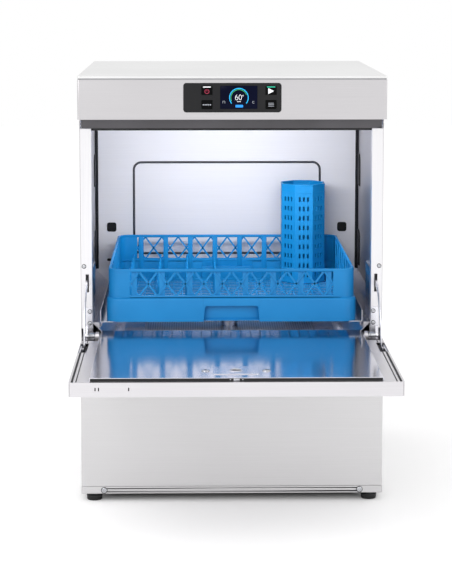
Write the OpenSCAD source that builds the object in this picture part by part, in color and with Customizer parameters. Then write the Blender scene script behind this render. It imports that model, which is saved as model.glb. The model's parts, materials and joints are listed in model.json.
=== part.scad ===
// Undercounter commercial dishwasher with a drop-down door and a pull-out rack.
// The door is stored open and the rack is stored inside the tub.
// +Z is up and the front faces -Y. The origin is on the floor, in the middle
// of the footprint that the cabinet and the open door cover together.

/* [Cabinet] */
// Width over the side panels
body_w = 600; // [600:1:606]
// Height from the floor to the top of the lid
body_h = 850; // [848:1:870]
// Height of the adjustable feet below the cabinet
foot_h = 15; // [14:1:15]
// Thickness of the stainless sheet
sheet = 1.2; // [1:0.1:1.2]
// Front face of the hood, measured from the middle of the footprint
hood_front_y = -124.5; // [-130:0.5:-120]
// Back face of the cabinet
back_y = 505.5; // [505.5:0.5:510]

// Radius of the hood's upright corners
corner_r = 3; // [2.6:0.1:3.2]

/* [Door] */
// Width of the door's outer panel
door_w = 592; // [588:1:592]
// Height of the hinge axis above the floor
hinge_z = 330; // [329:0.5:331]
// Place of the hinge axis along the depth
hinge_y = -72.5; // [-72.5:0.5:-72]
// Length of the door from the hinge axis to its top edge
door_reach = 433; // [430:1:433]
// Radius of the hinge pins
hinge_pin_r = 5; // [4:0.5:5]
// Radial clearance of the hinge, spindle and motor bearings
bearing_gap = 0.06; // [0.04:0.01:0.1]

/* [Rack] */
// Side of the square dish rack
rack_side = 500; // [496:1:500]
// Height of the rack's walls
rack_h = 106; // [100:1:110]
// Height of the rack's underside above the floor
rack_z = 356; // [356:0.5:358]
// Width across the flats of the cutlery cup
cup_flats = 96; // [90:1:98]
// Height of the top of the cutlery cup above the floor
cup_top_z = 586; // [560:1:600]

/* [Wash system] */
// Radius swept by the wash arms
wash_arm_r = 222; // [200:1:224]
// Radius swept by the rinse arms
rinse_arm_r = 205; // [190:1:215]
// Radius of the wash pipes
pipe_r = 12; // [10:1:12]

/* [Controls] */
// Width of the black control bezel
bezel_w = 190; // [186:1:200]
// Height of the black control bezel
bezel_h = 57; // [56:1:60]
// Gap between a button and its opening
button_gap = 0.35; // [0.3:0.05:0.5]

/* [Hidden] */
half_w = body_w / 2;
inner_w = half_w - sheet;
front_y = -95.5;
post_y = -67.5;
post_x = 277;
stay_x = [285.2, 288.2];
ear_x = 286;
ear_w = 5.6;
ear_r = 9;
lower_top_z = 302;
hood_z = 766;
lid_seam_z = body_h - 7;
ceiling_z = 764;
tub_back_y = 477.5;
tub_floor_z = 300;
slope_top_z = 376.6;
floor_half = 222;
tank_half = 182;
tank_y = [28, 402];
tank_z = 170;
wash_y = 205;
basin_front_y = -55;
rack_y = [-58, -58 + rack_side];
rack_mid_y = (rack_y[0] + rack_y[1]) / 2;
connect_z = 200;
connect_y = 485;
stub_y = connect_y + 1.4;
stub_len = 16.6;
inlet = [-200, 90];
drain = [-120, 70];
gland = [230, 70];
inlet_r = 13.2;
drain_r = 12;
gland_r = 10;
close_fit = 0.4;
$fn = 40;

// ---- Shared shapes ----

// A box between three pairs of limits.
module slab(x, y, z) {
    translate([x[0], y[0], z[0]]) cube([x[1] - x[0], y[1] - y[0], z[1] - z[0]]);
}

// The children and their mirror image across the middle plane.
module both_sides() {
    children();
    mirror([1, 0, 0]) children();
}

// A cylinder from a point along X, Y or Z.
module rod_x(p, r, len) { translate(p) rotate([0, 90, 0]) cylinder(r = r, h = len); }
module rod_y(p, r, len) { translate(p) rotate([-90, 0, 0]) cylinder(r = r, h = len); }
module rod_z(p, r, len) { translate(p) cylinder(r = r, h = len); }

// A flat outline in X and Z, given thickness along Y from y0.
module wall_xz(y0, thick) {
    translate([0, y0 + thick, 0]) rotate([90, 0, 0]) linear_extrude(thick) children();
}

// A flat outline in Y and Z, given thickness along X from x0.
module wall_yz(x0, thick) {
    translate([x0, 0, 0]) rotate([90, 0, 90]) linear_extrude(thick) children();
}

// A rectangle with round corners between two pairs of limits.
module round_rect(x, y, r) {
    translate([x[0] + r, y[0]]) square([x[1] - x[0] - 2 * r, y[1] - y[0]]);
    translate([x[0], y[0] + r]) square([x[1] - x[0], y[1] - y[0] - 2 * r]);
    for (cx = [x[0] + r, x[1] - r], cy = [y[0] + r, y[1] - r]) translate([cx, cy]) circle(r);
}

// A pipe of straight runs along the axes, with a ball at every bend.
module run(points, r) {
    for (i = [0:len(points) - 2]) {
        a = points[i];
        d = points[i + 1] - a;
        if (d[0] > 0) rod_x(a, r, d[0]);
        if (d[1] > 0) rod_y(a, r, d[1]);
        if (d[2] > 0) rod_z(a, r, d[2]);
        if (i > 0) translate(a) sphere(r);
    }
}

// ---- Cabinet ----

module base_frame() {
    lip_h = 26;
    tray_z = foot_h + 1;
    tray_front_y = -81.8;
    color("silver") difference() {
        slab([-inner_w, inner_w], [tray_front_y, connect_y], [tray_z, tray_z + lip_h]);
        slab([-inner_w + sheet, inner_w - sheet], [tray_front_y + sheet, connect_y - sheet],
            [tray_z + sheet, tray_z + lip_h + 1]);
        foot_places() rod_z([0, 0, tray_z - 1], foot_thread_r + 0.3, 4);
    }
}

foot_thread_r = 4;

module foot_places() {
    for (x = [-275, 275], y = [-76, 462]) translate([x, y, 0]) children();
}

module levelling_feet() {
    color("#202022") foot_places() {
        cylinder(r1 = 15, r2 = 16, h = foot_h - 4);
        translate([0, 0, foot_h - 4]) cylinder(r = 10, h = 5);
        translate([0, 0, foot_h + 1]) cylinder(r = foot_thread_r, h = 22);
    }
}

module plinth_strip() {
    color("#cfcdd0") difference() {
        slab([-half_w, half_w], [front_y, front_y + sheet], [foot_h + 0.5, foot_h + 15]);
        both_sides() rod_y([plinth_screw[0], front_y - 1, plinth_screw[1]], plinth_shank_r, 4);
    }
}

plinth_screw = [255, foot_h + 7.5];
plinth_shank_r = 2.5;

module plinth_screws() {
    color("silver") both_sides() {
        rod_y([plinth_screw[0], front_y - 2, plinth_screw[1]], 5.5, 2);
        rod_y([plinth_screw[0], front_y, plinth_screw[1]], plinth_shank_r, sheet + 0.8);
    }
}

module lower_front_panel() {
    z0 = foot_h + 15.4;
    color("#d4d2d4") {
        slab([-half_w, half_w], [front_y, front_y + sheet], [z0, lower_top_z]);
        both_sides() slab([inner_w, half_w], [front_y + sheet, -80.4], [z0, lower_top_z]);
        slab([-inner_w, inner_w], [front_y + sheet, -77], [lower_top_z - sheet, lower_top_z]);
        slab([-inner_w, inner_w], [front_y + sheet, -82], [z0, z0 + sheet]);
    }
}

module side_sheet() {
    color("#dedcde") wall_yz(inner_w, sheet)
        polygon([[-80, foot_h + 0.5], [back_y, foot_h + 0.5], [back_y, hood_z - 0.4],
            [post_y, hood_z - 0.4], [post_y, lower_top_z - 0.5], [-80, lower_top_z - 0.5]]);
}

module side_panel_left() { mirror([1, 0, 0]) side_sheet(); }
module side_panel_right() { side_sheet(); }

module rear_panel() {
    color("#cfcfd2") difference() {
        union() {
            slab([-inner_w, inner_w], [back_y - sheet, back_y], [connect_z, hood_z - 0.4]);
            slab([-inner_w, inner_w], [connect_y, back_y - sheet], [connect_z, connect_z + sheet]);
            slab([-inner_w, inner_w], [connect_y, connect_y + sheet], [foot_h + 1, connect_z]);
        }
        rod_y([inlet[0], connect_y - 1, inlet[1]], inlet_r + close_fit, 4);
        rod_y([drain[0], connect_y - 1, drain[1]], drain_r + close_fit, 4);
        rod_y([gland[0], connect_y - 1, gland[1]], gland_r + 0.2, 4);
    }
}

// Folded channel beside the door opening, with the slot of the stay arm.
module front_post() {
    color("#f0f0f2") difference() {
        slab([post_x, inner_w], [post_y, -42], [345, 743.8]);
        slab([post_x + sheet, inner_w - sheet], [post_y + sheet, -41], [344, 745]);
        slab([stay_x[0] - 1.5, stay_x[1] + 1.5], [post_y - 1, post_y + 2], [418, 454]);
    }
}

module front_post_left() { mirror([1, 0, 0]) front_post(); }
module front_post_right() { front_post(); }

module header_rail() {
    color("#4a494c") slab([-296.5, 296.5], [-62, -46.2], [744, ceiling_z]);
}

module tub_seals() {
    color("#0c0c0e") {
        slab([-post_x + 0.2, post_x - 0.2], [-62, -52], [739.8, 743.9]);
        both_sides() wall_seal();
    }
}

// Black sealing strip down the rear corner of the tub.
module wall_seal() {
    translate([0, 0, slope_top_z + 2]) linear_extrude(ceiling_z - slope_top_z - 4)
        polygon([[inner_w, tub_back_y], [inner_w - 7, tub_back_y], [inner_w, tub_back_y - 7]]);
}

// ---- Hood and controls ----

module top_cover() {
    lip_in = 2.4;
    back_in = back_y - sheet;
    color("#e8e8e8") {
        difference() {
            translate([0, 0, body_h - 4]) linear_extrude(4)
                round_rect([-half_w, half_w], [hood_front_y, back_y], corner_r);
            slab([-inner_w, inner_w], [hood_front_y + sheet, back_in], [body_h - 5, body_h - sheet]);
        }
        difference() {
            slab([-half_w + lip_in, half_w - lip_in], [hood_front_y + lip_in, back_y - 0.5],
                [lid_seam_z - 6, body_h - 0.5]);
            slab([-inner_w + lip_in, inner_w - lip_in], [hood_front_y + lip_in + sheet, back_in],
                [lid_seam_z - 7, body_h - sheet]);
        }
        slab([-inner_w, inner_w], [back_in, back_y], [hood_z, body_h - 0.6]);
    }
}

module control_fascia() {
    color("#d8d8d8") difference() {
        translate([0, 0, hood_z]) linear_extrude(lid_seam_z - hood_z)
            round_rect([-half_w, half_w], [hood_front_y, back_y - sheet], corner_r);
        slab([-inner_w, inner_w], [hood_front_y + sheet, back_y], [hood_z + sheet, body_h]);
        slab([-inner_w, inner_w], [-72, back_y], [hood_z - 1, hood_z + 2]);
        slab([-bezel_w / 2 + 3, bezel_w / 2 - 3], [hood_front_y - 1, hood_front_y + 2], [783, 834]);
    }
}

display_x = [-23.7, 48.5];
display_z = [786.7, 831.7];
left_x = [-59.7, -38.8];
right_x = [64.3, 85.2];
upper_z = [814.3, 831.1];
lower_z = [786.7, 803.5];

module control_bezel() {
    g = button_gap;
    bezel_z = 780;
    color("#333334") difference() {
        union() {
            wall_xz(hood_front_y - 0.8, 0.8)
                round_rect([-bezel_w / 2, bezel_w / 2], [bezel_z, bezel_z + bezel_h], 6);
            slab([-bezel_w / 2 + 3.2, bezel_w / 2 - 3.2], [hood_front_y, hood_front_y + 3],
                [783.2, 833.8]);
        }
        for (x = [left_x, right_x], z = [upper_z, lower_z])
            slab([x[0] - g, x[1] + g], [hood_front_y - 2, hood_front_y + 4], [z[0] - g, z[1] + g]);
        slab([display_x[0], display_x[1]], [hood_front_y - 2, hood_front_y + 4], display_z);
    }
}

module display() {
    color("#14142b") slab(display_x, [hood_front_y - 0.6, hood_front_y + 4], display_z);
}

module button(x, z) {
    color("#3a3a3c") slab(x, [hood_front_y - 1.6, hood_front_y + 4.5], z);
}

module button_power() { button(left_x, upper_z); }
module button_program() { button(left_x, lower_z); }
module button_start() { button(right_x, upper_z); }
module button_menu() { button(right_x, lower_z); }

module control_board() {
    board_y = hood_front_y + 8;
    color("#1f6a3c") slab([-88, 92], [board_y, board_y + 1.6], [784, 833]);
    color("#202022") {
        slab([-70, -40], [board_y + 1.6, board_y + 12], [795, 820]);
        slab([10, 30], [board_y + 1.6, board_y + 4], [800, 820]);
        slab([50, 80], [board_y + 1.6, board_y + 16], [790, 815]);
    }
}

// ---- Tub ----

ring_x = 213;
ring_z = [412, 624];

module tub_back_wall() {
    color("#ececf2") {
        wall_xz(tub_back_y, sheet)
            polygon([[-floor_half, tub_floor_z - sheet], [floor_half, tub_floor_z - sheet],
                [inner_w, slope_top_z], [inner_w, ceiling_z], [-inner_w, ceiling_z],
                [-inner_w, slope_top_z]]);
        wall_xz(tub_back_y - 1.4, 1.4) difference() {
            round_rect([-ring_x, ring_x], ring_z, 19);
            round_rect([-ring_x + 4, ring_x - 4], [ring_z[0] + 4, ring_z[1] - 4], 15);
        }
    }
}

module tub_ceiling() {
    color("#dcdce0") difference() {
        slab([-inner_w, inner_w], [-46, tub_back_y], [ceiling_z - sheet, ceiling_z]);
        rod_z([0, wash_y, ceiling_z - 3], 12.3, 5);
    }
}

// Formed tub bottom: flat floor with the tank opening, sloping sides and a front wall.
module tub_basin() {
    rise = slope_top_z - tub_floor_z;
    color("#d6d6da") difference() {
        union() {
            wall_xz(basin_front_y, tub_back_y - basin_front_y) polygon([
                [-floor_half, tub_floor_z - sheet], [floor_half, tub_floor_z - sheet],
                [inner_w, tub_floor_z - sheet + rise], [inner_w, slope_top_z + 0.5],
                [floor_half - 0.5, tub_floor_z], [-floor_half + 0.5, tub_floor_z],
                [-inner_w, slope_top_z + 0.5], [-inner_w, tub_floor_z - sheet + rise]]);
            wall_xz(basin_front_y, sheet) difference() {
                polygon([[-floor_half, tub_floor_z], [floor_half, tub_floor_z], [post_x, 355],
                    [-post_x, 355]]);
                translate([-264, 322]) square([528, 60]);
            }
        }
        slab([-tank_half + 2, tank_half - 2], [tank_y[0] + 2, tank_y[1] - 2], [290, 310]);
        both_sides() slab([post_x - 0.3, 300], [-60, 48.3], [tub_floor_z, 400]);
    }
}

sump = [90, 215];

module wash_tank() {
    color("#d0d0d4") difference() {
        slab([-tank_half, tank_half], tank_y, [tank_z, tub_floor_z - sheet]);
        slab([-tank_half + sheet, tank_half - sheet], [tank_y[0] + sheet, tank_y[1] - sheet],
            [tank_z + sheet, tub_floor_z]);
        rod_z([sump[0], sump[1], tank_z - 1], 24.2, 4);
        rod_z([0, wash_y, tank_z - 1], pipe_r + 0.2, 4);
    }
}

module wall_plugs() {
    color("#1a1a1c") both_sides() {
        wall_xz(tub_back_y - 3, 3) round_rect([251.5, 272.5], [463.5, 484.5], 4);
        wall_xz(tub_back_y - 3, 3) round_rect([261, 273], [396, 402], 2.5);
    }
}

module wall_buffers() {
    color("#2a2a2e") both_sides() for (z = [[392, 470], [572, 643]])
        wall_yz(inner_w - 2, 2) polygon([[425, z[0]], [468, z[0]], [468, z[1]],
            [437, z[1]], [425, z[1] - 12]]);
}

module surface_filters() {
    color("#b9bac0") for (x = [[-179.6, -0.4], [0.4, 179.6]]) difference() {
        slab(x, [tank_y[0] + 2.4, tank_y[1] - 2.4], [tub_floor_z - 1.8, tub_floor_z]);
        rod_z([0, wash_y, 290], 14, 20);
    }
}

module suction_filter() {
    color("#c4c5ca") {
        difference() {
            rod_z([sump[0], sump[1], tank_z + sheet], 30, 88);
            rod_z([sump[0], sump[1], tank_z + sheet - 1], 27.5, 90);
        }
        slab([sump[0] - 28, sump[0] + 28], [sump[1] - 4, sump[1] + 4],
            [tank_z + 86, tank_z + 86 + 3]);
    }
}

module rack_rail() {
    shelf_z = rack_z - 0.3;
    color("#d8d8dc") {
        slab([236, 262], [-50, 470], [shelf_z - 1.5, shelf_z]);
        slab([260.8, 262.3], [-50, 470], [shelf_z, shelf_z + 22]);
        for (y = [-20, 210, 430]) slab([260.8, 262], [y, y + 26], [341, shelf_z - 1.5]);
    }
}

module rack_rail_left() { mirror([1, 0, 0]) rack_rail(); }
module rack_rail_right() { rack_rail(); }

// ---- Door hardware on the cabinet ----

module stay_housings() {
    color("#d8d8dc") both_sides() difference() {
        slab([post_x, inner_w], [-41.8, 48], [310, 462]);
        slab([post_x + sheet, inner_w + 1], [-43, 48 - sheet], [310 + sheet, 462 - sheet]);
    }
}

module hinge_plates() {
    color("#c9cacd") both_sides() difference() {
        union() {
            slab([278, 292.4], [post_y - 1.6, post_y - 0.1], [341, 388]);
            rod_x([ear_x, hinge_y, hinge_z], ear_r, ear_w);
            wall_yz(ear_x, ear_w) polygon([[hinge_y - ear_r, hinge_z],
                [hinge_y - 2, hinge_z + 20], [post_y - 0.1, hinge_z + 20],
                [post_y - 0.1, hinge_z + 4], [hinge_y + 6, hinge_z]]);
        }
        rod_x([ear_x - 1, hinge_y, hinge_z], hinge_pin_r, ear_w + 2.4);
    }
}

module hinge_screws() {
    color("silver") both_sides() {
        for (z = [356, 379.5]) screw_head(282, post_y - 1.6, z);
        screw_head(293, post_y, 470);
    }
}

module screw_head(x, y, z) { rod_y([x, y - 1.6, z], 3.6, 1.6); }

module hinge_pins() {
    color("#b4b5ba") both_sides() rod_x([263.2, hinge_y, hinge_z], hinge_pin_r, 28);
}

module hinge_springs() {
    color("#8f9096") both_sides()
        translate([271.9, hinge_y, hinge_z]) rotate([0, 90, 0]) coil(7.4, 1.1, 5, 2.35);
}

// Coil of round wire about Z: mean radius, wire radius, turns and pitch.
module coil(big_r, wire_r, turns, pitch) {
    steps = 20;
    sides = 6;
    rings = turns * steps;
    pts = [for (i = [0:rings], k = [0:sides - 1])
        let (a = 360 * i / steps, b = 360 * k / sides, rr = big_r + wire_r * cos(b))
        [rr * cos(a), rr * sin(a), wire_r + pitch * i / steps + wire_r * sin(b)]];
    walls = [for (i = [0:rings - 1], k = [0:sides - 1])
        let (n = (k + 1) % sides)
        [i * sides + k, i * sides + n, (i + 1) * sides + n, (i + 1) * sides + k]];
    polyhedron(pts, concat(walls, [[for (k = [sides - 1:-1:0]) k]],
        [[for (k = [0:sides - 1]) rings * sides + k]]));
}

// ---- Door ----

door_front_y = hinge_y - door_reach;
door_rear_y = hinge_y + 14;
door_low_z = hinge_z - 23;
door_lip_z = hinge_z + 3;
inner_z = hinge_z + 8;
inner_half = 259.5;
door_half = door_w / 2;

module door_outer_panel() {
    color("#e2e0e3") {
        difference() {
            translate([0, 0, door_low_z]) linear_extrude(door_lip_z - door_low_z)
                round_rect([-door_half, door_half], [door_front_y, door_rear_y], 5);
            slab([-door_half + sheet, door_half - sheet],
                [door_front_y + sheet, door_rear_y - sheet],
                [door_low_z + sheet, door_lip_z - sheet]);
            slab([-252, 252], [door_front_y + 10, door_rear_y - sheet - 1],
                [door_lip_z - 3, door_lip_z + 1]);
            both_sides() {
                slab([263, door_half - sheet], [-133, door_rear_y + 1],
                    [door_low_z + sheet, door_lip_z + 1]);
                slab([279, door_half - sheet], [-246, -158], [door_lip_z - 3, door_lip_z + 1]);
            }
            for (x = [-249, -243, -190]) slab([x - 1, x + 1],
                [door_front_y - 1, door_front_y + 2], [hinge_z - 12, hinge_z - 6]);
        }
        both_sides() door_bush();
    }
}

// Bearing block of the door, welded to the outer panel beside the hinge plate.
module door_bush() {
    difference() {
        union() {
            slab([263.8, 271], [hinge_y - 11, hinge_y + 9], [door_low_z + sheet, hinge_z]);
            rod_x([263.8, hinge_y, hinge_z], 9, 7.2);
        }
        rod_x([262, hinge_y, hinge_z], hinge_pin_r + bearing_gap, 12);
    }
}

module door_inner_panel() {
    y0 = door_front_y + 9.5;
    y1 = door_rear_y - 1.5;
    color("#c9ccd2") difference() {
        slab([-inner_half, inner_half], [y0, y1], [door_lip_z, inner_z + sheet]);
        slab([-inner_half + sheet, inner_half - sheet], [y0 - 1, y1 - sheet],
            [door_lip_z - 1, inner_z]);
        rod_z([0, catch_y, inner_z - 1], 9, 4);
    }
}

catch_y = hinge_y - 366;

module door_seal() {
    color("#4a494c") difference() {
        slab([-inner_half + sheet, inner_half - sheet], [door_front_y + 10, door_rear_y - 14],
            [door_lip_z, inner_z]);
        slab([-250, 250], [door_front_y + 19, door_rear_y], [door_lip_z - 1, inner_z + 1]);
    }
}

module latch_plate() {
    top = inner_z + sheet;
    color("#dadbe0") difference() {
        union() {
            slab([-41, 41], [catch_y - 32, catch_y + 32], [top, top + 1.2]);
            rod_z([0, catch_y, top], 13, 2);
        }
        rod_z([0, catch_y, top - 1], 9, 5);
    }
}

module door_screws() {
    color("silver") both_sides() {
        translate([54.5, catch_y, inner_z + sheet]) dome(7.5, 2.2);
        for (y = [-232, -204]) rod_x([290.4, y, hinge_z - 9], 4.2, 1.6);
    }
}

// Low round head with a softened edge.
module dome(r, h) {
    cylinder(r = r, h = h * 0.5);
    translate([0, 0, h * 0.5]) cylinder(r1 = r, r2 = r * 0.6, h = h * 0.5);
}

stay_r = 106;
stay_w = 14;

// Curved straps that turn with the door and slide through the slots in the posts.
module stay_arms() {
    color("#cfd0d4") both_sides() {
        intersection() {
            difference() {
                rod_x([stay_x[0], hinge_y, hinge_z], stay_r + stay_w / 2, stay_x[1] - stay_x[0],
                    $fn = 96);
                rod_x([stay_x[0] - 1, hinge_y, hinge_z], stay_r - stay_w / 2, 6, $fn = 96);
            }
            slab([280, 295], [hinge_y - 120, hinge_y + 13], [hinge_z, hinge_z + 120]);
        }
        slab(stay_x, [hinge_y - stay_r - stay_w / 2, hinge_y - stay_r + stay_w / 2],
            [hinge_z - 14, hinge_z]);
        slab([stay_x[1], 292], [hinge_y - stay_r - 7, hinge_y - stay_r + 6],
            [hinge_z - 14, hinge_z - 2]);
    }
}

module stay_brackets() {
    color("#c2c3c8") both_sides()
        slab([292, door_half - sheet], [-242, -164], [hinge_z - 19, hinge_z]);
}

// ---- Rack ----

window_half = 203;
window_z = [408, 456];
lattice_pitch = 2 * window_half / 11;

// Crossing straps of one lattice window, drawn flat.
module lattice() {
    mid = (window_z[0] + window_z[1]) / 2;
    lean = atan(lattice_pitch / (window_z[1] - window_z[0]));
    intersection() {
        translate([-window_half - 1, window_z[0] - 1])
            square([2 * window_half + 2, window_z[1] - window_z[0] + 2]);
        for (i = [0:11], s = [-1, 1]) translate([-window_half + i * lattice_pitch, mid])
            rotate(s * lean) square([4.4, 80], center = true);
    }
}

module dish_rack() {
    half = rack_side / 2;
    band_z = 404;
    upper = half - 4;
    grip = 56;
    color("#2a99da") translate([0, rack_mid_y, 0]) {
        difference() {
            union() {
                translate([0, 0, rack_z]) linear_extrude(band_z - rack_z)
                    round_rect([-half, half], [-half, half], 28);
                translate([0, 0, band_z]) linear_extrude(rack_z + rack_h - band_z)
                    round_rect([-upper, upper], [-upper, upper], 26);
            }
            translate([0, 0, rack_z - 1]) linear_extrude(rack_h + 2)
                round_rect([-upper + 4, upper - 4], [-upper + 4, upper - 4], 22);
            slab([-window_half, window_half], [-half - 1, half + 1], window_z);
            slab([-half - 1, half + 1], [-window_half, window_half], window_z);
            for (s = [-1, 1]) {
                slab([-grip, grip], [s * half - 9, s * half + 9], [rack_z - 1, 388]);
                slab([s * half - 9, s * half + 9], [-grip, grip], [rack_z - 1, 388]);
            }
        }
        for (a = [0:90:270]) rotate(a) {
            wall_xz(-upper + 1, 2.2) lattice();
            slab([-grip - 3, grip + 3], [-half + 12, -half + 14], [rack_z + 6, 391]);
        }
        rack_floor(upper - 4, grip);
        for (x = [-210:60:-30], y = [-210:60:210]) rod_z([x, y, rack_z + 9], 3.4, 58);
    }
}

// Open grid on which the dishes stand. Its bars stop short of the grip recesses.
module rack_floor(half, grip) {
    bar = 3;
    z = [rack_z + 6, rack_z + 10];
    for (p = [-210:60:210]) {
        reach = abs(p) < grip ? half - 5 : half + 1;
        slab([p - bar / 2, p + bar / 2], [-reach, reach], z);
        slab([-reach, reach], [p - bar / 2, p + bar / 2], z);
    }
}

cup = [167, 384];

module cutlery_cup() {
    wall = 2.2;
    low = rack_z + 10.2;
    color("#2a8fd8") translate([cup[0], cup[1], 0]) difference() {
        rotate(22.5) translate([0, 0, low])
            cylinder(r = cup_flats / 2 / cos(22.5), h = cup_top_z - low, $fn = 8);
        rotate(22.5) translate([0, 0, low + wall])
            cylinder(r = (cup_flats / 2 - wall) / cos(22.5), h = cup_top_z, $fn = 8);
        for (a = [0:45:135], z = [low + 14:21:cup_top_z - 30], x = [-9, 0, 9])
            rotate(a) slab([x - 2, x + 2], [-cup_flats, cup_flats], [z, z + 10]);
    }
}

// ---- Wash system ----

module lower_spindle() {
    color("#c8c9cd") {
        difference() {
            union() {
                rod_z([0, wash_y, 262], pipe_r, 67);
                rod_z([0, wash_y, tub_floor_z + 0.4], 18, 9);
                rod_z([0, wash_y, 329], 8, 14);
            }
            rod_z([0, wash_y, 261], 8, 60);
        }
        rod_z([0, wash_y, 343], 12, 3);
    }
}

module upper_spindle() {
    color("#c8c9cd") {
        difference() {
            union() {
                rod_z([0, wash_y, 738], pipe_r, ceiling_z - 738);
                rod_z([0, wash_y, 757.5], 18, ceiling_z - sheet - 757.5);
                rod_z([0, wash_y, 724], 8, 14);
            }
            rod_z([0, wash_y, 745], 8, 30);
        }
        rod_z([0, wash_y, 721], 12, 3);
    }
}

// Flat hollow arm with a hub and a row of nozzles on one face.
module wash_arm(z, up) {
    translate([0, wash_y, z]) difference() {
        union() {
            cylinder(r = 24, h = 16);
            linear_extrude(13) round_rect([-wash_arm_r, wash_arm_r], [-17, 17], 12);
            for (x = [60:48:204], s = [-1, 1])
                rod_z([s * x, s * 4, up ? 12 : -2], 5, 3);
        }
        rod_z([0, 0, -1], pipe_r + bearing_gap, 18);
    }
}

// Slim arm of round tube with a hub.
module rinse_arm(z) {
    translate([0, wash_y, z]) difference() {
        union() {
            cylinder(r = 15, h = 12);
            rod_x([-rinse_arm_r, 0, 6], 5, 2 * rinse_arm_r);
        }
        rod_z([0, 0, -1], 8 + bearing_gap, 14);
    }
}

module lower_wash_arm() { color("#c6c7cc") wash_arm(tub_floor_z + 10, true); }
module upper_wash_arm() { color("#c6c7cc") wash_arm(740.8, false); }
module lower_rinse_arm() { color("#d2d3d8") rinse_arm(330); }
module upper_rinse_arm() { color("#d2d3d8") rinse_arm(725); }

pump = [110, 215, 100];
outlet = [135, 142];
outlet_r = 14;

module wash_pump_housing() {
    color("#3c3d42") difference() {
        union() {
            rod_x(pump, 60, 50);
            rod_z([sump[0], sump[1], pump[2]], 24, tank_z + sheet - pump[2]);
            rod_x([sump[0], pump[1], pump[2]], 24, 22);
            translate([sump[0], pump[1], pump[2]]) sphere(24);
            rod_y([outlet[0], pump[1], outlet[1]], outlet_r, 225);
        }
        rod_x(pump + [4, 0, 0], 54, 40);
        rod_z([sump[0], sump[1], pump[2]], 20, 90);
        rod_x([sump[0], pump[1], pump[2]], 20, 30);
        rod_x(pump + [40, 0, 0], 7, 20);
        rod_y([outlet[0], 240, outlet[1]], outlet_r - 3, 250);
    }
}

module wash_pump_motor() {
    color("#9a9ca2") difference() {
        union() {
            rod_x([160.2, pump[1], pump[2]], 50, 124);
            slab([180, 270], [pump[1] - 34, pump[1] + 34], [foot_h + 1 + sheet, pump[2] - 30]);
            slab([190, 240], [pump[1] - 24, pump[1] + 24], [pump[2] + 45, pump[2] + 66]);
        }
        rod_x([159, pump[1], pump[2]], 6 + bearing_gap, 110);
    }
}

module wash_pump_impeller() {
    color("#6d6f75") {
        rod_x([119, pump[1], pump[2]], 46, 4);
        rod_x([119, pump[1], pump[2]], 6, 140);
        for (a = [0:60:300]) translate([123, pump[1], pump[2]]) rotate([a, 0, 0])
            slab([-0.01, 16], [-1.5, 1.5], [8, 44]);
        rod_x([123, pump[1], pump[2]], 12, 16);
    }
}

// Pipework from the pump to both spindles. The riser runs behind the tub.
module wash_riser() {
    color("#b8b9be") {
        rod_z([outlet[0], 454.5, outlet[1]], outlet_r, 90);
        rod_y([outlet[0], 440, outlet[1]], outlet_r, 14);
        slab([110, 160], [440.5, 500], [232, 254]);
        slab([110, 160], [480, 500], [254, 792]);
        slab([-14, 160], [wash_y - 14, 500], [770, 792]);
        rod_z([0, wash_y, ceiling_z + 0.2], 14, 8);
        rod_z([0, wash_y, 146], pipe_r, 116);
        run([[0, wash_y, 146], [0, 454, 146]], pipe_r);
        rod_x([0, 454, 146], pipe_r, 122);
    }
}

module drain_pump() {
    color("#2b2c30") {
        rod_x([-150, 330, 66], 34, 70);
        slab([-140, -90], [306, 354], [foot_h + 1 + sheet, 40]);
        rod_y([drain[0], 355, drain[1]], 10, 115);
        difference() {
            union() {
                rod_y([drain[0], 468, drain[1]], drain_r - 1, stub_y - 468);
                rod_y([drain[0], stub_y, drain[1]], drain_r, stub_len);
            }
            rod_y([drain[0], 472, drain[1]], drain_r - 3, 40);
        }
    }
}

module boiler() {
    color("#c0c2c8") difference() {
        union() {
            rod_y([-238, 60, 112], 48, 340);
            for (y = [90, 330]) slab([-262, -214], [y, y + 24], [foot_h + 1 + sheet, 80]);
        }
        rod_y([-238, 62, 112], 46, 336);
        rod_y([-238, 55, 112], 26, 12);
    }
}

module boiler_heater() {
    color("#a65a3a") {
        rod_y([-238, 44, 112], 32, 15.8);
        for (x = [-250, -226]) rod_y([x, 59, 112], 4, 280);
        rod_x([-250, 339, 112], 4, 24);
    }
}

module inlet_valve() {
    color("#e6e6e2") {
        slab([-222, -178], [430, connect_y - 0.2], [66, 114]);
        rod_y([inlet[0], connect_y - 1, inlet[1]], inlet_r - 1.2, stub_y - connect_y + 1);
        rod_y([inlet[0], stub_y, inlet[1]], inlet_r, stub_len);
        slab([-216, -184], [436, 470], [114, 146]);
    }
}

cord_hole_r = 5.5;

module cable_gland() {
    color("#26262a") difference() {
        union() {
            rod_y([gland[0], connect_y - 10, gland[1]], gland_r, 27);
            rod_y([gland[0], connect_y + sheet, gland[1]], gland_r + 5, 6, $fn = 6);
            rod_y([gland[0], connect_y - 10, gland[1]], gland_r + 5, 8, $fn = 6);
        }
        rod_y([gland[0], connect_y - 12, gland[1]], cord_hole_r, 32);
    }
}

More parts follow.
